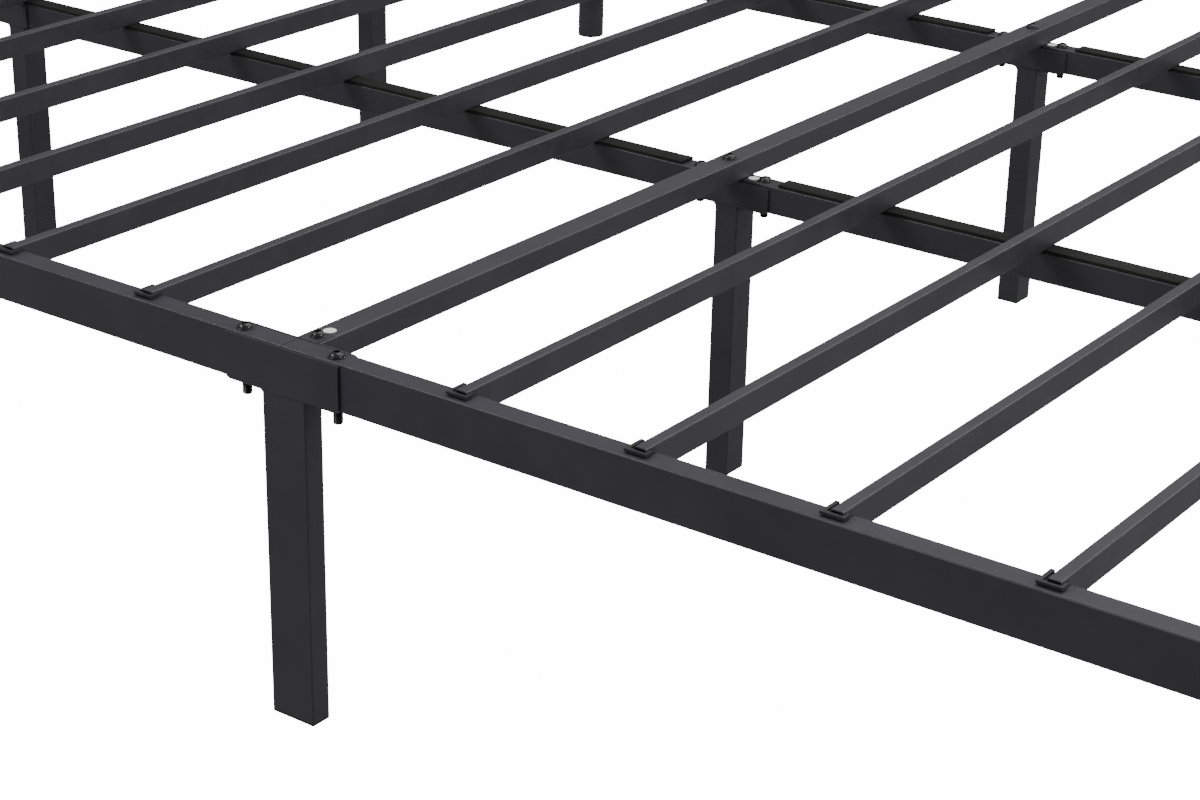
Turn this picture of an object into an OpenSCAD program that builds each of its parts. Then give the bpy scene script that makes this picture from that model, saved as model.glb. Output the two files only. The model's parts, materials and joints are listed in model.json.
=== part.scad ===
// Metal platform bed frame.
// Two side rails and two inner rails run the length of the bed, each in two lengths that meet
// inside a T-shaped middle leg. A crossbar joins the four middle legs, and slats lie across the
// rails between it and the two end rails. Everything is held by button-head bolts.
// The origin is on the floor at the middle of the bed: X runs along the rails, Y across them.

/* [Overall] */
// Width over the outside faces of the side rails
bed_w = 1826; // [1700:2:1900]
// Distance between the corner posts' centres, along the bed
post_span = 2100; // [2080:2:2140]
// Height of the side rails' top face above the floor
rail_top = 325; // [250:5:400]

/* [Tubes] */
// Height of the side rail and end rail tube
side_h = 40; // [38:1:45]
// Width of the side rail, end rail and inner rail tubes
rail_w = 20; // [18:1:22]
// Height of the inner rail tube
inner_h = 27; // [25:1:30]
// Wall thickness of the rails and the crossbar
wall = 1.2; // [1:0.1:1.5]
// Wall thickness of the legs and the corner posts
leg_wall = 1.5; // [1.2:0.1:2]
// Outside corner radius of the rails and legs
corner_r = 1.5; // [1.3:0.1:2.5]
// Outside diameter of the corner posts
post_d = 38; // [35:1:42]
// Width of a side leg along the rail
side_leg_w = 44; // [30:1:46]
// Width of an inner leg along the rail
inner_leg_w = 25; // [22:1:28]
// Depth of an inner leg across the rail
inner_leg_d = 30; // [25:1:32]
// Width of the crossbar, along the bed
crossbar_w = 24; // [24:1:28]

/* [Layout] */
// Distance from a side rail's outside face to the near face of the nearest inner rail
inner_inset = 605; // [560:1:640]
// Drop from the top of the side rails to the top of the inner rails
inner_drop = 20; // [20:1:22]
// Distance between the slats' centres
slat_pitch = 160; // [150:1:160]
// Distance from the middle of the bed to the centre of an inner end leg
end_leg_x = 976; // [970:1:985]

/* [Slats] */
// Width of a slat, along the bed
slat_w = 10.5; // [10:0.5:13]
// Height of a slat's tube
slat_h = 22; // [18:1:22]
// Height of the slats' top above the side rails' top
slat_rise = 5; // [4:0.5:6]
// Length of the tongue that a slat lays over the side rail
tongue_l = 11; // [10:0.5:12]

/* [Middle legs] */
// Length of the channel on a side leg, along the rail
side_channel_l = 116; // [100:2:130]
// Length of the channel on an inner leg
inner_channel_l = 94; // [90:2:110]
// Thickness of the channels' steel
plate_t = 2; // [1.6:0.1:2.5]
// Shift of a side leg from the crossbar's centre line
side_leg_x = -8; // [-8:1:8]
// Shift of an inner leg from the crossbar's centre line
inner_leg_x = -6; // [-6:1:6]

/* [Fasteners] */
// Thread diameter of the bolts
bolt_d = 8; // [6:0.5:8]
// Head diameter of the bolts in the rails
head_d = 14; // [13:0.5:14.5]
// Head height of the bolts
head_h = 4.2; // [4:0.1:4.4]
// Length of the bolts in the side rails, under the head
side_bolt_l = 55; // [50:1:60]
// Length of the bolts in the inner rails, under the head
inner_bolt_l = 35; // [33:1:40]
// Length of the crossbar's bolts, under the head
crossbar_bolt_l = 25; // [23:1:28]

/* [Hidden] */
SLATS = 6;                      // slats on each side of the crossbar
SIDES = [-1, 1];                // front and back, or left and right
ROUND = 48;                     // facets of a drawn circle
SMOOTH = 24;                    // facets of a small corner arc
CUT = 1;                        // how far a cutter runs past a face
SHARP = 0.3;                    // radius of a corner that is only broken

end_gap = 1;                    // gap between the end of a rail and what it meets
seam = 0.6;                     // gap between the two lengths of a rail
half_w = bed_w / 2;
post_x = post_span / 2;
post_y = half_w - post_d / 2;   // the posts stand flush with the side rails' outside faces
side_y = half_w - rail_w / 2;   // centre line of a side rail
inner_y = half_w - inner_inset - rail_w / 2;
side_z = rail_top - side_h / 2; // centre line heights
inner_top = rail_top - inner_drop;
inner_z = inner_top - inner_h / 2;
slat_z = rail_top + slat_rise - slat_h / 2;
side_end = post_x - post_d / 2 - end_gap;
end_rail_l = 2 * (post_y - post_d / 2 - end_gap);
plate_x = post_x - rail_w / 2;  // near face of an end rail, where an end leg's plate lies
inner_end = plate_x - plate_t - end_gap;
crossbar_h = inner_drop;        // the crossbar fills the step between the inner and side rails
crossbar_z = inner_top + crossbar_h / 2;
crossbar_l = bed_w - 2 * rail_w - 2 * plate_t;
nut_d = 14;                     // round nut in each end of the crossbar
nut_h = 5;

hole_d = bolt_d + 0.6;          // clearance hole
thread_hole_d = bolt_d + 0.06;  // threaded hole, at the bolt's own diameter
bore = 2 * plate_t + 8;         // depth of a hole through one plate
socket_d = 5.8;                 // across the corners of the hex socket
socket_depth = 2.6;
head_rim_t = 0.9;               // the thin flange round a bolt's head
bolt_in = 11;                   // from a channel's end to its bolt
side_bolt_x = side_channel_l / 2 - bolt_in;
inner_bolt_x = inner_channel_l / 2 - bolt_in;
crossbar_bolt_in = 6.5;         // from an inner rail's near face to the crossbar's bolt
crossbar_end_bolt_in = 32.2;    // from a side rail's outside face to the bolt at the crossbar's end
small_head_d = 12.5;            // head of the bolts at the crossbar's ends
end_bolt_l = rail_w + 10;
stub_bolts = [18, 50];          // bolt places from the end of a rail

channel_r = 3;                  // outside radius of a channel's bends
lip_r = 6;                      // radius of the lower corners of a channel's flanges
outer_lip = 1.5;                // a channel's outer flange stops this far under the rail's top
back_lip = 0.3;                 // its other flange
back_lip_r = 4;
inner_lip = 3;                  // both flanges of a channel on an inner rail
weld_w = 6;
weld_h = 4;
side_tab = [-11, 10];        // tongue on top of the crossbar, on a side leg: from and to
side_tab_l = 17.5;
notch_gap = 0.3;                // under that tongue and at its end, in the crossbar
notch_side = 0.9;               // and beside it
tab_w = 16;                     // tongue under the crossbar, on an inner leg
inner_tab_l = 16;
tab_root = 4;                   // how far that tongue's root runs down the flange
end_channel_l = 82;             // channel on an inner end leg
end_channel_x = plate_x - plate_t - end_channel_l / 2;
end_plate_drop = 3;             // from the end rail's top down to the end leg's plate
end_bolt_z = inner_top + 11;
stub_l = 66;                    // channel welded to a corner post
stub_reach = 3;                 // how far it runs past its rail's end, into the post

plug_flange = 2;                // thickness of a foot plug's flange
plug_depth = 18;                // depth of a plug inside its tube
plug_wall = 2;
plug_gap = 0.1;                 // between a plug and its tube
cap_t = 3;                      // thickness of the round caps' flanges
cap_wall = 2.5;
cap_gap = 0.2;                  // between a top cap's edge and the channels beside it

strip_w = rail_w - 0.6;
strip_t = rail_top + slat_rise - slat_h - inner_top;
strip_in = [58, 50];            // from the middle of the bed to a strip's inner end, left and right
strip_out = 968;                // and to its outer end

slat_wall = 1;
slat_r = 1.4;
slat_gap = 0.3;                 // from a slat to the side rails, and from its tongue to its seat
seat_w = [11, 8];               // a slat seat's reach to the left and to the right of the slat
seat_y = [5, rail_w];           // a seat's front and back, from the rail's outside face
seat_bar = 3.2;                 // width of the rim's long arm
seat_arm = 0.55;                // share of the seat's depth that the short arm covers
seat_reach = 5.5;               // how far the long arm runs past the rail's inside face
seat_line = 0.8;                // from the end of a slat's tongue to the rim
seat_base_t = 1.6;              // thickness of the base, under the slat's tongue
seat_inset = 0.9;               // the base stands back under the rim
rim_z = 1;                      // height of the rim's underside above the rail
rim_h = 2.2;                    // and the rim's own height
slot_size = [9, 7];             // slot in the rail's top wall
slot_y = 12.5;
slot_gap = 0.2;
barb_l = 9;
tongue_t = slat_rise - seat_base_t;
tongue_y = rail_w - tongue_l;   // end of a slat's tongue, from the rail's outside face

sticker_d = 10.5;
sticker_t = 0.15;
sticker_end_y = 45.8;           // from a side rail's outside face to the crossbar's sticker
sticker_x = 17.5;               // from the middle of the bed to an inner rail's sticker

// ---- shapes shared by several parts ----

// A rectangle with round corners, centred on the origin
module rounded_rect(size, r) {
    for (x = SIDES, y = SIDES)
        translate([x * (size.x / 2 - r), y * (size.y / 2 - r)]) circle(r, $fn = SMOOTH);
    square([size.x, size.y - 2 * r], center = true);
    square([size.x - 2 * r, size.y], center = true);
}

// The section of a rectangular tube
module tube_section(size, t = wall, r = corner_r) {
    difference() {
        rounded_rect(size, r);
        rounded_rect([size.x - 2 * t, size.y - 2 * t], max(r - t, SHARP));
    }
}

// A tube along +X from the origin, of the given width and height
module tube_x(l, w, h) {
    rotate([90, 0, 90]) linear_extrude(l) tube_section([w, h]);
}

// An upright rectangular tube that stands on the XY plane
module tube_z(l, size, t = leg_wall) {
    linear_extrude(l) tube_section(size, t);
}

// A vertical hole through the level z = 0
module hole(d, depth) {
    translate([0, 0, -depth / 2]) cylinder(d = d, h = depth, $fn = ROUND);
}

// The side view of a channel's flange: its foot is at -plate_t and its top at h
module flange_outline(l, h, top_r) {
    intersection() {
        translate([0, h]) rounded_rect([l, 2 * (h + plate_t)], lip_r);
        translate([0, -2 * plate_t]) rounded_rect([l, 2 * (h + 2 * plate_t)], top_r);
    }
}

// A U-shaped channel centred on X, with its inside floor at z = 0. The flange on the -Y side
// rises to h, and the one on the +Y side to back_h, with its top corners rounded to back_r
module channel(l, w, h, back_h, back_r = SHARP) {
    top = max(h, back_h);
    intersection() {
        rotate([90, 0, 90]) linear_extrude(l, center = true) difference() {
            translate([0, top]) rounded_rect([w + 2 * plate_t, 2 * (top + plate_t)], channel_r);
            translate([0, top]) rounded_rect([w, 2 * top], channel_r - plate_t);
        }
        union() {
            rotate([90, 0, 0]) linear_extrude(w) flange_outline(l, h, SHARP);
            rotate([90, 0, 0]) translate([0, 0, -w]) linear_extrude(w)
                flange_outline(l, back_h, back_r);
        }
    }
}

// The weld fillets on both sides of a leg, under a plate at z = 0
module weld_fillets(leg_size) {
    for (s = SIDES) mirror([s < 0 ? 1 : 0, 0, 0]) translate([leg_size.x / 2, 0, 0])
        rotate([90, 0, 0]) linear_extrude(leg_size.y - 2 * corner_r, center = true)
            polygon([[-leg_wall / 2, 0], [weld_w, 0], [weld_w / 3, -weld_h / 3], [0, -weld_h],
                     [-leg_wall / 2, -weld_h]]);
}

// A button-head bolt with a hex socket: its head sits on z = 0 and its shank points down
module bolt(l, d = head_d) {
    chamfer = 0.7;
    button_d = d - 2.2;         // the button at its foot and at its flat top
    crown_d = d - 5.4;
    difference() {
        union() {
            cylinder(d = d, h = head_rim_t, $fn = ROUND);
            translate([0, 0, head_rim_t])
                cylinder(d1 = button_d, d2 = crown_d, h = head_h - head_rim_t, $fn = ROUND);
            translate([0, 0, chamfer - l]) cylinder(d = bolt_d, h = l - chamfer, $fn = ROUND);
            translate([0, 0, -l])
                cylinder(d1 = bolt_d - 2 * chamfer, d2 = bolt_d, h = chamfer, $fn = ROUND);
        }
        translate([0, 0, head_h - socket_depth])
            cylinder(d = socket_d, h = socket_depth + CUT, $fn = 6);
    }
}

// Places children once at each corner of the bed
module at_corners(x, y) {
    for (sx = SIDES, sy = SIDES) translate([sx * x, sy * y, 0]) children();
}

// Turns what is built for the front left into its mirror image at another side or hand
module facing(side, hand = -1) {
    mirror([hand > 0 ? 1 : 0, 0, 0]) mirror([0, side > 0 ? 1 : 0, 0]) children();
}

// ---- rails ----

// One length of a side rail, on the front (side -1) or back, at the left (hand -1) or right
module side_rail(side, hand) {
    start = hand < 0 ? -side_end : side_leg_x + seam / 2;
    stop = hand < 0 ? side_leg_x - seam / 2 : side_end;
    color("#38383c") difference() {
        translate([start, side * side_y, side_z]) tube_x(stop - start, rail_w, side_h);
        translate([side_leg_x + hand * side_bolt_x, side * side_y, side_z]) hole(hole_d, 2 * side_h);
        for (b = stub_bolts) translate([hand * (side_end - b), side * side_y, side_z])
            hole(hole_d, 2 * side_h);
        for (k = [1:SLATS]) translate([hand * k * slat_pitch, side * (half_w - slot_y), rail_top])
            cube([slot_size.x + slot_gap, slot_size.y + slot_gap, 4 * wall], center = true);
    }
}

// One length of an inner rail
module inner_rail(side, hand) {
    start = hand < 0 ? -inner_end : inner_leg_x + seam / 2;
    stop = hand < 0 ? inner_leg_x - seam / 2 : inner_end;
    color("#333337") difference() {
        translate([start, side * inner_y, inner_z]) tube_x(stop - start, rail_w, inner_h);
        translate([inner_leg_x + hand * inner_bolt_x, side * inner_y, inner_z])
            hole(hole_d, 2 * inner_h);
    }
}

// The rail across one end of the bed
module end_rail(hand) {
    color("#38383c") difference() {
        translate([hand * post_x, -end_rail_l / 2, side_z]) rotate([0, 0, 90])
            tube_x(end_rail_l, rail_w, side_h);
        for (s = SIDES, b = stub_bolts)
            translate([hand * post_x, s * (end_rail_l / 2 - b), side_z]) hole(hole_d, 2 * side_h);
        for (s = SIDES) translate([hand * post_x, s * inner_y, end_bolt_z]) rotate([0, 90, 0])
            hole(hole_d, 2 * rail_w);
    }
}

// The crossbar between the two side rails, with a nut welded in each end
module crossbar() {
    color("#3c3c40") difference() {
        union() {
            translate([0, -crossbar_l / 2, crossbar_z]) rotate([0, 0, 90])
                tube_x(crossbar_l, crossbar_w, crossbar_h);
            for (s = SIDES) translate([0, s * (half_w - crossbar_end_bolt_in), inner_top + wall / 2])
                cylinder(d = nut_d, h = nut_h, $fn = ROUND);
        }
        for (s = SIDES) {
            facing(s) translate([-crossbar_w, -crossbar_l / 2 - CUT, rail_top - plate_t - notch_gap])
                cube([crossbar_w + side_tab[1] + notch_side, side_tab_l + CUT, plate_t + CUT]);
            translate([0, s * (half_w - crossbar_end_bolt_in), inner_top])
                hole(thread_hole_d, 2 * crossbar_h);
            translate([0, crossbar_bolt_y(s), crossbar_z]) hole(hole_d, 2 * crossbar_h);
        }
    }
}

// Both crossbar bolts stand on the same side of their inner rails, towards the front
function crossbar_bolt_y(side) = side * inner_y - rail_w / 2 - crossbar_bolt_in;

// ---- slats ----

// One slat: a tube between the side rails whose top runs on as a tongue over each rail
module slat(hand, k) {
    l = bed_w - 2 * tongue_y;
    body_end = half_w - rail_w - slat_gap;
    color("#434347") translate([hand * k * slat_pitch, 0, slat_z]) difference() {
        rotate([90, 0, 0]) linear_extrude(l, center = true)
            tube_section([slat_w, slat_h], slat_wall, slat_r);
        for (s = SIDES) translate([0, s * (body_end + rail_w), -tongue_t])
            cube([slat_w + CUT, 2 * rail_w, slat_h], center = true);
    }
}

// The moulded seat of one slat end on the front rail, with its origin on the rail's outer edge:
// a base under the slat's tongue, a raised rim round it and a barb that enters the rail's slot
module slat_seat() {
    depth = seat_y[1] - seat_y[0];
    translate([-seat_w[0], seat_y[0], rim_z]) cube([seat_bar, depth + seat_reach, rim_h]);
    translate([-seat_w[0], seat_y[0], rim_z])
        cube([seat_w[0] + seat_w[1], tongue_y - seat_y[0] - seat_line, rim_h]);
    translate([slat_w / 2 + slat_gap, seat_y[0], rim_z])
        cube([seat_w[1] - slat_w / 2 - slat_gap, seat_arm * depth, rim_h]);
    translate([-seat_w[0] + seat_inset, seat_y[0] + 2 * seat_inset, 0])
        cube([seat_w[0] + seat_w[1] - 2 * seat_inset, depth - 2 * seat_inset, seat_base_t]);
    translate([-slot_size.x / 2, slot_y - slot_size.y / 2, -barb_l])
        cube([slot_size.x, slot_size.y, barb_l + CUT]);
}

// The seats along one side rail
module slat_seats(side) {
    color("#2b2b2e") for (h = SIDES, k = [1:SLATS])
        facing(side) translate([h * k * slat_pitch, -half_w, rail_top]) slat_seat();
}

// The rubber strip on top of one length of an inner rail
module rubber_strip(side, hand) {
    near = strip_in[hand < 0 ? 0 : 1];
    l = strip_out - near;
    color("#232422") translate([hand * (near + l / 2), side * inner_y, inner_top + strip_t / 2])
        rotate([90, 0, 90]) linear_extrude(l, center = true)
            rounded_rect([strip_w, strip_t], strip_t / 4);
}

// ---- legs ----

// A side rail's middle leg: channel, tube and the tongue that lies on the crossbar's end
module middle_leg(side) {
    floor_z = rail_top - side_h;
    inside_y = rail_w / 2;      // the channel's inside face on the bed's side
    color("#303033") facing(side) translate([side_leg_x, -side_y, 0]) difference() {
        union() {
            translate([0, 0, floor_z])
                channel(side_channel_l, rail_w, side_h - outer_lip, side_h - back_lip, back_lip_r);
            translate([0, 0, plug_flange])
                tube_z(floor_z - plate_t / 2 - plug_flange, [side_leg_w, rail_w]);
            translate([0, 0, floor_z - plate_t]) weld_fillets([side_leg_w, rail_w]);
            translate([side_tab[0] - side_leg_x, inside_y, rail_top - plate_t])
                cube([side_tab[1] - side_tab[0], side_tab_l + plate_t - notch_gap, plate_t]);
        }
        for (s = SIDES) translate([s * side_bolt_x, 0, floor_z]) hole(thread_hole_d, 4 * plate_t);
        translate([-side_leg_x, crossbar_end_bolt_in - rail_w / 2, rail_top]) hole(hole_d, bore);
    }
}

// An inner rail's middle leg: channel, tube and the tongue under the crossbar's bolt
module middle_leg_inner(side) {
    floor_z = inner_top - inner_h;
    color("#2e2e31") translate([inner_leg_x, side * inner_y, 0]) difference() {
        union() {
            translate([0, 0, floor_z])
                channel(inner_channel_l, rail_w, inner_h - inner_lip, inner_h - inner_lip);
            inner_leg_tube(floor_z);
            translate([-inner_leg_x - tab_w / 2, -rail_w / 2 - inner_tab_l, inner_top - plate_t])
                cube([tab_w, inner_tab_l, plate_t]);
            translate([-inner_leg_x - tab_w / 2, -rail_w / 2 - plate_t,
                       inner_top - inner_lip - tab_root])
                cube([tab_w, plate_t, inner_lip + tab_root]);
        }
        for (s = SIDES) translate([s * inner_bolt_x, 0, floor_z]) hole(thread_hole_d, 4 * plate_t);
        translate([-inner_leg_x, -rail_w / 2 - crossbar_bolt_in, inner_top]) hole(thread_hole_d, bore);
    }
}

// The tube of an inner leg, flush with the near face of its rail, and its fillets
module inner_leg_tube(floor_z) {
    translate([0, (inner_leg_d - rail_w) / 2, plug_flange])
        tube_z(floor_z - plate_t / 2 - plug_flange, [inner_leg_w, inner_leg_d]);
    translate([0, 0, floor_z - plate_t]) weld_fillets([inner_leg_w, rail_w]);
}

// The leg at the end of an inner rail, with a plate that bolts to the end rail
module end_leg(side, hand) {
    floor_z = inner_top - inner_h;
    plate_z = [floor_z - plate_t, rail_top - end_plate_drop];
    color("#2e2e31") translate([0, side * inner_y, 0]) difference() {
        union() {
            translate([hand * end_channel_x, 0, floor_z])
                channel(end_channel_l, rail_w, inner_h - inner_lip, inner_h - inner_lip);
            translate([hand * end_leg_x, 0, 0]) inner_leg_tube(floor_z);
            translate([hand * (plate_x - plate_t / 2), 0, (plate_z[0] + plate_z[1]) / 2])
                cube([plate_t, rail_w + 2 * plate_t, plate_z[1] - plate_z[0]], center = true);
        }
        translate([hand * plate_x, 0, end_bolt_z]) rotate([0, 90, 0]) hole(thread_hole_d, bore);
    }
}

// A round corner post with a channel for the side rail and one for the end rail
module corner_leg(side, hand) {
    floor_z = rail_top - side_h;
    color("#303033") facing(side, hand) difference() {
        union() {
            translate([-post_x, -post_y, cap_t])
                cylinder(d = post_d, h = rail_top - 2 * cap_t, $fn = 2 * ROUND);
            translate([stub_l / 2 - side_end - stub_reach, -side_y, floor_z])
                channel(stub_l, rail_w, side_h - outer_lip, side_h - outer_lip);
            translate([-post_x, (stub_l - end_rail_l) / 2 - stub_reach, floor_z]) rotate([0, 0, 90])
                channel(stub_l, rail_w, side_h - outer_lip, side_h - outer_lip);
        }
        translate([-post_x, -post_y, -CUT])
            cylinder(d = post_d - 2 * leg_wall, h = rail_top + 2 * CUT, $fn = 2 * ROUND);
        translate([-post_x, -post_y, rail_top - cap_t])
            cylinder(d = post_d + 2 * cap_gap, h = 2 * cap_t, $fn = 2 * ROUND);
        for (b = stub_bolts) {
            translate([b - side_end, -side_y, floor_z]) hole(thread_hole_d, bore);
            translate([-post_x, b - end_rail_l / 2, floor_z]) hole(thread_hole_d, bore);
        }
    }
}

// ---- plastic ends ----

// A plug that closes a rectangular leg and stands on the floor
module foot_plug(size) {
    fit = 2 * (leg_wall + plug_gap);
    inside = [size.x - fit, size.y - fit];
    linear_extrude(plug_flange) rounded_rect(size, corner_r);
    linear_extrude(plug_flange + plug_depth) difference() {
        rounded_rect(inside, 2 * SHARP);
        rounded_rect([inside.x - 2 * plug_wall, inside.y - 2 * plug_wall], SHARP);
    }
}

// A round cap with a flange of the post's own diameter
module round_cap() {
    d = post_d - 2 * (leg_wall + plug_gap);
    cylinder(d = post_d, h = cap_t, $fn = 2 * ROUND);
    difference() {
        cylinder(d = d, h = cap_t + plug_depth, $fn = 2 * ROUND);
        translate([0, 0, cap_t]) cylinder(d = d - 2 * cap_wall, h = plug_depth + CUT, $fn = ROUND);
    }
}

module side_leg_foot_plugs() {
    color("#1c1c1e") for (s = SIDES) translate([side_leg_x, s * side_y, 0])
        foot_plug([side_leg_w, rail_w]);
}

module inner_leg_foot_plugs() {
    shift = (inner_leg_d - rail_w) / 2;
    color("#1c1c1e") for (s = SIDES, x = [-end_leg_x, inner_leg_x, end_leg_x])
        translate([x, s * inner_y + shift, 0]) foot_plug([inner_leg_w, inner_leg_d]);
}

module corner_leg_foot_caps() {
    color("#1c1c1e") at_corners(post_x, post_y) round_cap();
}

module corner_leg_top_caps() {
    color("#1c1c1e") at_corners(post_x, post_y) translate([0, 0, rail_top])
        mirror([0, 0, 1]) round_cap();
}

// ---- fasteners and stickers ----

// The bolts down through the side rails, at the middle legs and the corner posts
module rail_bolts() {
    color("#17171a") {
        for (s = SIDES, h = SIDES) translate([side_leg_x + h * side_bolt_x, s * side_y, rail_top])
            bolt(side_bolt_l);
        for (b = stub_bolts) at_corners(side_end - b, side_y) translate([0, 0, rail_top])
            bolt(side_bolt_l);
    }
}

// The bolts down through the end rails into the corner posts' channels
module end_rail_bolts() {
    color("#17171a") for (b = stub_bolts) at_corners(post_x, end_rail_l / 2 - b)
        translate([0, 0, rail_top]) bolt(side_bolt_l);
}

// The bolts down through the inner rails into their middle legs
module inner_rail_bolts() {
    color("#17171a") for (s = SIDES, h = SIDES)
        translate([inner_leg_x + h * inner_bolt_x, s * inner_y, inner_top]) bolt(inner_bolt_l);
}

// The bolts from the outside of the end rails into the inner end legs
module end_leg_bolts() {
    color("#17171a") for (h = SIDES, s = SIDES)
        translate([h * (post_x + rail_w / 2), s * inner_y, end_bolt_z]) rotate([0, h * 90, 0])
            bolt(end_bolt_l);
}

// The bolts through the crossbar into the inner middle legs
module crossbar_bolts() {
    color("#17171a") for (s = SIDES) translate([0, crossbar_bolt_y(s), rail_top])
        bolt(crossbar_bolt_l);
}

// The bolts at the crossbar's two ends
module crossbar_end_bolts() {
    color("#17171a") for (s = SIDES)
        translate([0, s * (half_w - crossbar_end_bolt_in), rail_top]) bolt(inner_drop + 2, small_head_d);
}

// Plain round stickers beside the joints
module part_stickers() {
    color("#e8e8e6") {
        for (s = SIDES) translate([0, s * (half_w - sticker_end_y), rail_top])
            cylinder(d = sticker_d, h = sticker_t, $fn = ROUND);
        for (s = SIDES) translate([sticker_x, s * inner_y, inner_top])
            cylinder(d = sticker_d, h = sticker_t, $fn = ROUND);
    }
}

// ---- nodes ----

SIDE_NAMES = ["front", "back"];
HAND_NAMES = ["left", "right"];

for (i = [0, 1]) {
    middle_leg(SIDES[i]);
    middle_leg_inner(SIDES[i]);
    slat_seats(SIDES[i]);
    end_rail(SIDES[i]);
    for (k = [1:SLATS])
        slat(SIDES[i], k);
}
for (i = [0, 1], j = [0, 1]) {
    place = str(SIDE_NAMES[i], "_", HAND_NAMES[j]);
    side_rail(SIDES[i], SIDES[j]);
    inner_rail(SIDES[i], SIDES[j]);
    rubber_strip(SIDES[i], SIDES[j]);
    end_leg(SIDES[i], SIDES[j]);
    corner_leg(SIDES[i], SIDES[j]);
}
crossbar();
side_leg_foot_plugs();
inner_leg_foot_plugs();
corner_leg_foot_caps();
corner_leg_top_caps();
rail_bolts();
end_rail_bolts();
inner_rail_bolts();
end_leg_bolts();
crossbar_bolts();
crossbar_end_bolts();
part_stickers();
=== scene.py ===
"""A black steel platform bed frame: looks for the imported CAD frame, a pale studio and the camera."""

import json
import math
import random

import bmesh
import bpy
from mathutils import Matrix, Vector


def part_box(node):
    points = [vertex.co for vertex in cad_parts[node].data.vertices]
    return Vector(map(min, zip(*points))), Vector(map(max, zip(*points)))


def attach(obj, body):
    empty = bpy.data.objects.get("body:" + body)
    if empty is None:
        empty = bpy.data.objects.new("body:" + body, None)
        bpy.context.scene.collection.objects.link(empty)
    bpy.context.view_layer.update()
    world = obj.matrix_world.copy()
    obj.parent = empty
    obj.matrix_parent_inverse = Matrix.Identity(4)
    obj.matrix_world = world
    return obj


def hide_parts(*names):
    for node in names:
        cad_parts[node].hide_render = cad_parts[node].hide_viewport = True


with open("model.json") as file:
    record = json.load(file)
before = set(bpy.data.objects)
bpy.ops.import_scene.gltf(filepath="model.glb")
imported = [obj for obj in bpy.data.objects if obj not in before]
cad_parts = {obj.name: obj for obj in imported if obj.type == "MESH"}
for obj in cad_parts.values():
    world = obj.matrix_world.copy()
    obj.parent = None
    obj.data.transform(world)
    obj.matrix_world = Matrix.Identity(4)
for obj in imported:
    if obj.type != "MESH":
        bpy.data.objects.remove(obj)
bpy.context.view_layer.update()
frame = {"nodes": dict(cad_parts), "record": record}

MM = 0.001

# ---- the camera ----

CAMERA_AT = Vector((1.27094, -2.26494, 1.08205))   # metres, in the bed's own frame
CAMERA_TURN = math.radians(35.858)                 # to the left of +Y
CAMERA_DOWN = math.radians(23.348)
CAMERA_ROLL = math.radians(1.221)
CAMERA_LENS = 78.863                               # mm
CAMERA_SENSOR = 36                                 # mm
CAMERA_REACH = 60                                  # metres
CAMERA_SHIFT = -0.0024

# ---- the light ----

FLOOR_GLOW = 14.0
STUDIO_REACH = 14                   # radius of the floor and the dome, in metres
WORLD_LIGHT = 0.36
SOFTBOXES = {                       # place, aim, width and height, watts
    "overhead": ((0.3, 0.6, 3.2), (0, 0, 0.3), (3.0, 2.6), 70),
    "front_left": ((-1.6, -3.6, 2.4), (-0.2, -0.8, 0.2), (1.8, 1.4), 52),
    "edge_left": ((-2.3, -2.3, 3.1), (-0.2, -0.8, 0.3), (1.0, 1.0), 30),
    "edge_back": ((2.0, 3.4, 2.6), (0.2, 0, 0.3), (2.0, 1.0), 45),
    "right": ((2.5, -0.3, 1.2), (0.4, 0, 0.2), (1.0, 1.0), 30),
}

# ---- sizes of the fasteners and the strips, in metres ----

BOLT_R = 4.0 * MM
THREAD_PITCH = 1.25 * MM
THREAD_DEPTH = 0.6 * MM
THREAD_SPAN = 26 * MM
THREAD_STEPS = 8                    # rows of vertices to one turn
TIP_LENGTH = 0.8 * MM               # the chamfer at a bolt's tip
TIP_DEPTH = 0.7 * MM
NECK = 3 * MM                       # the least length without a thread
NECK_INSET = 0.1 * MM
HEAD_HEIGHT = 4.2 * MM
HEAD_RIM = 0.9 * MM
DOME_ANGLE = math.radians(62)       # how steeply a head's dome ends
DOME_STEPS = 6
DOME_INSET = 1.2 * MM
HEX_R = 2.9 * MM
HEX_DEPTH = 2.6 * MM
SEGMENTS = 48
MERGE = 0.001 * MM                  # vertices closer than this are one
SHARP = math.radians(35)            # edges over this angle stay sharp
STRIP_ROUND = 0.7 * MM
STRIP_STEP = 9 * MM
STRIP_WANDER = 0.12 * MM
STRIP_CLEAR = 0.4 * MM              # how much narrower it is than the CAD strip
STRIP_LEAN = 0.1 * MM
CORNER_STEPS = 4

# ---- surfaces ----

GRAIN_DEPTH = 0.15 * MM
NOISE_DETAIL = 3.0
NOISE_RANGE = (0.3, 0.7)            # the noise values that cover the whole range
MOTTLE_RANGE = (0.35, 0.65)


def add_camera():
    """The camera, turned, tilted and rolled about its own place."""
    data = bpy.data.cameras.new("camera")
    data.sensor_width = CAMERA_SENSOR
    data.lens = CAMERA_LENS
    data.shift_x = CAMERA_SHIFT
    data.clip_end = CAMERA_REACH
    camera = bpy.data.objects.new("camera", data)
    bpy.context.scene.collection.objects.link(camera)
    camera.matrix_world = (Matrix.Translation(CAMERA_AT)
                           @ Matrix.Rotation(CAMERA_TURN, 4, "Z")
                           @ Matrix.Rotation(math.pi / 2 - CAMERA_DOWN, 4, "X")
                           @ Matrix.Rotation(CAMERA_ROLL, 4, "Z"))
    bpy.context.scene.camera = camera


# ---- materials ----

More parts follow.
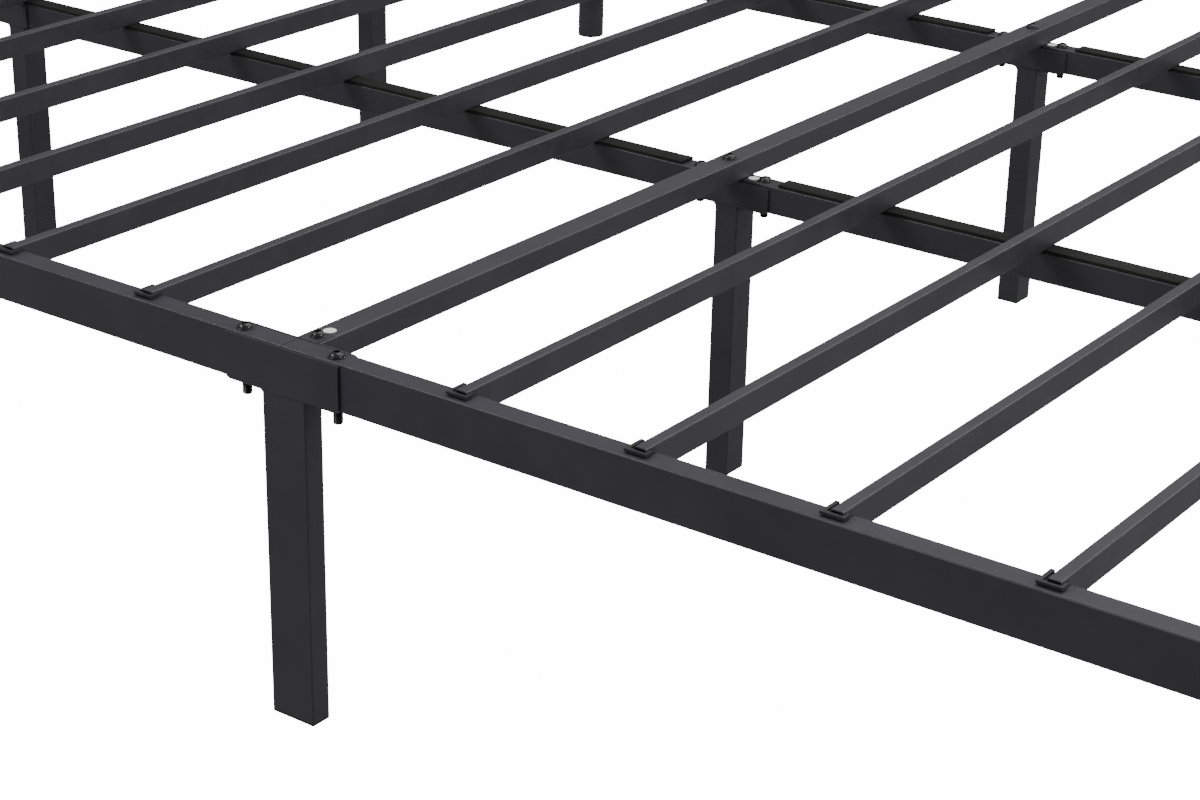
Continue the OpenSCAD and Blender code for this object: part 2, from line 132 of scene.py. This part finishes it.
def node(tree, kind, place, **settings):
    """A new shader node with its sockets or properties set."""
    made = tree.nodes.new(kind)
    made.location = place
    for name, value in settings.items():
        if name in made.inputs:
            made.inputs[name].default_value = value
        else:
            setattr(made, name, value)
    return made


def noise(tree, place, scale):
    """Noise in the object's own metres."""
    where = node(tree, "ShaderNodeTexCoord", (place[0] - 200, place[1]))
    made = node(tree, "ShaderNodeTexNoise", place, Scale=scale, Detail=NOISE_DETAIL)
    tree.links.new(where.outputs["Object"], made.inputs["Vector"])
    return made.outputs["Fac"]


def spread(tree, place, value, low, high):
    """A noise value mapped onto the range low to high."""
    made = node(tree, "ShaderNodeMapRange", place)
    made.inputs["From Min"].default_value = NOISE_RANGE[0]
    made.inputs["From Max"].default_value = NOISE_RANGE[1]
    made.inputs["To Min"].default_value = low
    made.inputs["To Max"].default_value = high
    tree.links.new(value, made.inputs["Value"])
    return made.outputs["Result"]


def mottled(tree, value, dark, light):
    """A colour that wanders between dark and light."""
    ramp = node(tree, "ShaderNodeValToRGB", (-300, 300))
    ramp.color_ramp.elements[0].position = MOTTLE_RANGE[0]
    ramp.color_ramp.elements[0].color = (*dark, 1)
    ramp.color_ramp.elements[1].position = MOTTLE_RANGE[1]
    ramp.color_ramp.elements[1].color = (*light, 1)
    tree.links.new(value, ramp.inputs["Fac"])
    return ramp.outputs["Color"]


def surface(name, colour, vary=0.12, rough=(0.4, 0.5), patch=18, grain=700, bump=0.1,
            specular=0.5):
    """A procedural surface: mottled colour, uneven roughness and a fine grain."""
    made = bpy.data.materials.new(name)
    made.use_nodes = True
    tree = made.node_tree
    shader = tree.nodes["Principled BSDF"]
    shader.inputs["Metallic"].default_value = 0.0
    shader.inputs["Specular IOR Level"].default_value = specular
    dark = [c * (1 - vary) for c in colour]
    light = [c * (1 + vary) for c in colour]
    colour_out = mottled(tree, noise(tree, (-600, 300), patch), dark, light)
    tree.links.new(colour_out, shader.inputs["Base Color"])
    rough_out = spread(tree, (-300, 0), noise(tree, (-600, 0), patch * 4), *rough)
    tree.links.new(rough_out, shader.inputs["Roughness"])
    relief = node(tree, "ShaderNodeBump", (-300, -300), Strength=bump, Distance=GRAIN_DEPTH)
    tree.links.new(noise(tree, (-600, -300), grain), relief.inputs["Height"])
    tree.links.new(relief.outputs["Normal"], shader.inputs["Normal"])
    return made


MATERIALS = {
    "frame_steel": surface("frame_coat", (0.0270, 0.0255, 0.0345)),
    "slat_steel": surface("slat_coat", (0.0300, 0.0285, 0.0365)),
    "leg_steel": surface("leg_coat", (0.0270, 0.0258, 0.0340)),
    "bolt_steel": surface("bolt_oxide", (0.012, 0.012, 0.013), rough=(0.20, 0.34), grain=2500),
    "strip_rubber": surface("strip_rubber", (0.010, 0.011, 0.009), vary=0.3, rough=(0.75, 0.95),
                            grain=1100, bump=0.6, specular=0.25),
    "plug_plastic": surface("plug_moulding", (0.009, 0.009, 0.010), rough=(0.5, 0.62), grain=1800),
    "seat_plastic": surface("seat_moulding", (0.016, 0.016, 0.019), rough=(0.4, 0.5), grain=1800),
    "sticker_vinyl": surface("sticker_vinyl", (0.90, 0.90, 0.88), vary=0.02, rough=(0.4, 0.5)),
}


def dress(piece, slot):
    """Gives a piece the procedural surface of one of the record's material slots."""
    piece.data.materials.clear()
    piece.data.materials.append(MATERIALS[slot])


def dress_cad_nodes():
    """Procedural surfaces on all the CAD nodes."""
    for part in frame["record"]["subparts"]:
        piece = frame["nodes"][part["node"]]
        for i in range(len(piece.data.materials)):
            piece.data.materials[i] = MATERIALS[part["material_slot"]]


# ---- bolts ----

def islands(name):
    """The boxes of a CAD node's separate solids, as (lowest corner, highest corner)."""
    bm = bmesh.new()
    bm.from_mesh(frame["nodes"][name].data)
    bmesh.ops.remove_doubles(bm, verts=bm.verts, dist=MERGE)
    left = set(bm.verts)
    boxes = []
    while left:
        front = [left.pop()]
        found = list(front)
        while front:
            tip = front.pop()
            for v in [e.other_vert(tip) for e in tip.link_edges]:
                if v in left:
                    left.discard(v)
                    front.append(v)
                    found.append(v)
        low = Vector([min(v.co[i] for v in found) for i in range(3)])
        high = Vector([max(v.co[i] for v in found) for i in range(3)])
        boxes.append((low, high))
    bm.free()
    return sorted(boxes, key=lambda b: tuple(b[0]))


def hexagon(angle):
    """The distance to the side of a hex socket, at an angle."""
    third = math.pi / 3
    return HEX_R * math.cos(third / 2) / math.cos((angle % third) - third / 2)


def head_rings(radius):
    """(radius, z) rings of a flanged button head, from its underside to its socket."""
    dome_r = radius - DOME_INSET
    rings = [(BOLT_R, 0), (radius - 0.3 * MM, 0), (radius, 0.3 * MM), (radius, 0.6 * MM),
             (radius - 0.25 * MM, HEAD_RIM)]
    for i in range(DOME_STEPS + 1):
        a = i / DOME_STEPS * DOME_ANGLE
        rise = math.sin(a) / math.sin(DOME_ANGLE)
        rings.append((dome_r * math.cos(a) + 0.2 * MM, HEAD_RIM + (HEAD_HEIGHT - HEAD_RIM) * rise))
    return rings


def thread_rows(length, angles):
    """Rows of (radius, angle, z) up the shank from its tip: a chamfered thread, then a plain neck."""
    rows = []
    turns = min(THREAD_SPAN, length - NECK) / THREAD_PITCH
    for k in range(round(turns * THREAD_STEPS)):
        rise = k * THREAD_PITCH / THREAD_STEPS
        point = max(0.0, 1 - rise / TIP_LENGTH) * TIP_DEPTH
        row = []
        for a in angles:
            phase = (rise / THREAD_PITCH - a / (2 * math.pi)) % 1
            row.append((BOLT_R - point - THREAD_DEPTH * abs(2 * phase - 1), a, rise - length))
        rows.append(row)
    for z in (rows[-1][0][2] + THREAD_PITCH / THREAD_STEPS, -0.2 * MM):
        rows.append([(BOLT_R - NECK_INSET, a, z) for a in angles])
    return rows


def add_bolt(bm, length, radius, place):
    """One socket bolt with its head's underside at the origin, moved to its place."""
    angles = [i * 2 * math.pi / SEGMENTS for i in range(SEGMENTS)]
    rows = thread_rows(length, angles)
    for r, level in head_rings(radius):
        rows.append([(r, a, level) for a in angles])
    for share, level in ((1.06, 0), (1, 0.15 * MM), (1, HEX_DEPTH)):
        rows.append([(hexagon(a) * share, a, HEAD_HEIGHT - level) for a in angles])
    verts = [[bm.verts.new(place @ Vector((r * math.cos(a), r * math.sin(a), z)))
              for r, a, z in row] for row in rows]
    for lower, upper in zip(verts, verts[1:]):
        for i in range(SEGMENTS):
            j = (i + 1) % SEGMENTS
            bm.faces.new((lower[i], lower[j], upper[j], upper[i]))
    bm.faces.new(reversed(verts[0]))
    bm.faces.new(verts[-1])


def finish_mesh(bm, name, slot):
    """Turns a bmesh into a piece on the bed's body, shaded smooth except at sharp edges."""
    bmesh.ops.recalc_face_normals(bm, faces=bm.faces)
    for edge in bm.edges:
        if len(edge.link_faces) == 2 and edge.calc_face_angle() > SHARP:
            edge.smooth = False
    for face in bm.faces:
        face.smooth = True
    mesh = bpy.data.meshes.new(name)
    bm.to_mesh(mesh)
    bm.free()
    piece = bpy.data.objects.new(name, mesh)
    bpy.context.scene.collection.objects.link(piece)
    dress(piece, slot)
    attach(piece, "root")
    return piece


def bolt_place(low, high):
    """A bolt's axis, its whole length, its head's radius and its top along the axis."""
    size = high - low
    middle = (low + high) / 2
    if size.z > size.x:
        return Matrix.Translation((middle.x, middle.y, 0)), size.z, size.x / 2, high.z
    side = 1 if middle.x > 0 else -1
    place = Matrix.Translation((0, middle.y, middle.z)) @ Matrix.Rotation(side * math.pi / 2, 4, "Y")
    return place, size.x, size.z / 2, side * (high.x if side > 0 else low.x)


def detailed_bolts(name):
    """Threaded socket bolts in place of a CAD node of plain ones."""
    bm = bmesh.new()
    for i, (low, high) in enumerate(islands(name)):
        place, whole, radius, top = bolt_place(low, high)
        spin = Matrix.Rotation(0.7 * i + 0.2, 4, "Z")
        seat = place @ Matrix.Translation((0, 0, top - HEAD_HEIGHT)) @ spin
        add_bolt(bm, whole - HEAD_HEIGHT, radius, seat)
    piece = finish_mesh(bm, name + "_threaded", "bolt_steel")
    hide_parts(name)


# ---- rubber strips ----

def strip_section(width, height, wander):
    """A strip's outline in (y, z) from the middle of its underside, with soft upper corners."""
    half = width / 2
    outline = [(-half, 0), (-half + STRIP_LEAN, height / 2)]
    for side in (-1, 1):
        for i in range(CORNER_STEPS + 1):
            a = i / CORNER_STEPS * math.pi / 2
            across = math.cos(a) if side < 0 else math.sin(a)
            up = math.sin(a) if side < 0 else math.cos(a)
            outline.append((side * (half - STRIP_ROUND + across * STRIP_ROUND),
                            height - STRIP_ROUND + up * STRIP_ROUND - abs(wander)))
    return outline + [(half - STRIP_LEAN, height / 2), (half, 0)]


def rubber_strip(name, seed):
    """A cut rubber strip in place of a CAD strip, with slightly uneven edges and top."""
    chance = random.Random(seed)
    low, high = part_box(name)
    size = high - low
    count = round(size.x / STRIP_STEP)
    bm = bmesh.new()
    rows = []
    for k in range(count + 1):
        wander = chance.uniform(-1, 1) * STRIP_WANDER
        outline = strip_section(size.y - STRIP_CLEAR, size.z, wander)
        rows.append([bm.verts.new((low.x + k / count * size.x, (low.y + high.y) / 2 + y + wander,
                                   low.z + z)) for y, z in outline])
    for row, after in zip(rows, rows[1:]):
        for i in range(len(row)):
            j = (i + 1) % len(row)
            bm.faces.new((row[i], row[j], after[j], after[i]))
    bm.faces.new(rows[0])
    bm.faces.new(reversed(rows[-1]))
    piece = finish_mesh(bm, name + "_cut", "strip_rubber")
    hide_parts(name)


# ---- studio ----

def paper():
    """A pale surface that glows evenly."""
    made = bpy.data.materials.new("studio_paper")
    made.use_nodes = True
    shader = made.node_tree.nodes["Principled BSDF"]
    shader.inputs["Base Color"].default_value = (0.9, 0.9, 0.9, 1)
    shader.inputs["Roughness"].default_value = 0.9
    shader.inputs["Emission Color"].default_value = (1, 1, 1, 1)
    shader.inputs["Emission Strength"].default_value = FLOOR_GLOW
    return made


def add_studio():
    """A wide pale floor under a pale dome. They light nothing and cast no shadow."""
    floor = bmesh.new()
    bmesh.ops.create_circle(floor, cap_ends=True, segments=96, radius=STUDIO_REACH)
    dome = bmesh.new()
    bmesh.ops.create_uvsphere(dome, u_segments=96, v_segments=48, radius=STUDIO_REACH)
    bmesh.ops.delete(dome, geom=[v for v in dome.verts if v.co.z < -0.01], context="VERTS")
    look = paper()
    for name, bm in (("floor", floor), ("dome", dome)):
        mesh = bpy.data.meshes.new(name)
        bm.to_mesh(mesh)
        bm.free()
        mesh.materials.append(look)
        part = bpy.data.objects.new(name, mesh)
        bpy.context.scene.collection.objects.link(part)
        part.visible_diffuse = False
        part.visible_glossy = False
        part.visible_shadow = False


def add_softbox(name, at, aim, size, power):
    """A rectangular area light that faces a point."""
    data = bpy.data.lights.new(name, "AREA")
    data.shape = "RECTANGLE"
    data.size, data.size_y = size
    data.energy = power
    light = bpy.data.objects.new(name, data)
    bpy.context.scene.collection.objects.link(light)
    light.location = at
    light.rotation_euler = (Vector(aim) - Vector(at)).to_track_quat("-Z", "Y").to_euler()


def add_world():
    """A pale even surround."""
    world = bpy.data.worlds.new("studio")
    world.use_nodes = True
    back = world.node_tree.nodes["Background"]
    back.inputs["Color"].default_value = (1, 1, 1, 1)
    back.inputs["Strength"].default_value = WORLD_LIGHT
    bpy.context.scene.world = world


# ---- the scene ----

add_camera()
add_world()
add_studio()
for light_name, facts in SOFTBOXES.items():
    add_softbox(light_name, *facts)

dress_cad_nodes()
for bolts in ("rail_bolts", "end_rail_bolts", "inner_rail_bolts", "end_leg_bolts",
              "crossbar_bolts", "crossbar_end_bolts"):
    detailed_bolts(bolts)
for order, place in enumerate(("front_left", "front_right", "back_left", "back_right")):
    rubber_strip("rubber_strip_" + place, order)
